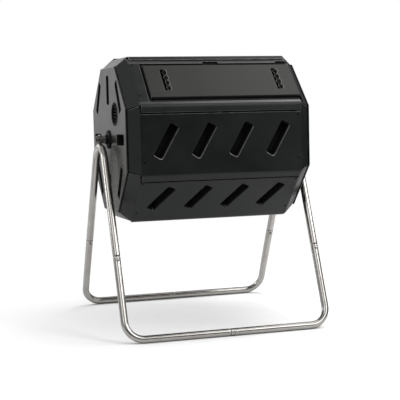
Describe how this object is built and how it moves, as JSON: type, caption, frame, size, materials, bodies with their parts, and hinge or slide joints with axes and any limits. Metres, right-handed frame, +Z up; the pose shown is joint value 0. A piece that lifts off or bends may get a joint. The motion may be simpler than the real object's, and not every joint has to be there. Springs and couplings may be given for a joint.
{
  "type": "compost tumbler",
  "caption": "Eight-sided compost drum with two chambers and a sliding door, turning on an axle across a bent tube stand.",
  "frame": {"origin": "on the floor, under the middle of the drum", "axes": "+X along the axle to the right of the door side, -Y towards the door side, +Z up"},
  "size_m": [0.712, 0.6746, 0.8979],
  "materials": {
    "panel_plastic": "black moulded, fine satin grain",
    "door_plastic": "black moulded, satin",
    "cap_plastic": "black moulded, matt grain",
    "hub_plastic": "black moulded, satin",
    "stand_zinc": "bright galvanised tube",
    "fastener_zinc": "zinc plated"
  },
  "bodies": {
    "stand": {"axle": "stand_zinc", "left_apex_tube": "stand_zinc", "right_apex_tube": "stand_zinc", "front_left_corner_tube": "stand_zinc", "front_right_corner_tube": "stand_zinc", "rear_left_corner_tube": "stand_zinc", "rear_right_corner_tube": "stand_zinc", "front_left_leg_bolt": "fastener_zinc", "front_left_leg_nut": "fastener_zinc", "front_right_leg_bolt": "fastener_zinc", "front_right_leg_nut": "fastener_zinc", "front_bar_bolt": "fastener_zinc", "front_bar_nut": "fastener_zinc", "rear_left_leg_bolt": "fastener_zinc", "rear_left_leg_nut": "fastener_zinc", "rear_right_leg_bolt": "fastener_zinc", "rear_right_leg_nut": "fastener_zinc", "rear_bar_bolt": "fastener_zinc", "rear_bar_nut": "fastener_zinc", "left_axle_bolt": "fastener_zinc", "left_axle_nut": "fastener_zinc", "right_axle_bolt": "fastener_zinc", "right_axle_nut": "fastener_zinc"},
    "drum": {"top_panel": "panel_plastic", "door_frame_panel": "panel_plastic", "front_panel": "panel_plastic", "lower_front_panel": "panel_plastic", "bottom_panel": "panel_plastic", "lower_rear_panel": "panel_plastic", "rear_panel": "panel_plastic", "upper_rear_panel": "panel_plastic", "left_end_cap": "cap_plastic", "right_end_cap": "cap_plastic", "divider_panel": "cap_plastic", "left_hub_bush": "hub_plastic", "right_hub_bush": "hub_plastic", "left_vent": "hub_plastic", "right_vent": "hub_plastic", "divider_sleeve": "hub_plastic"},
    "door": {"sliding_door": "door_plastic"}
  },
  "joints": [
    {"name": "drum_spin", "type": "hinge", "parent": "stand", "child": "drum", "pos_m": [0, 0, 0.625], "axis": [1, 0, 0], "continuous": true},
    {"name": "door_slide", "type": "slide", "parent": "drum", "child": "door", "axis": [1, 0, 0], "range_m": [0, 0.6]}
  ]
}
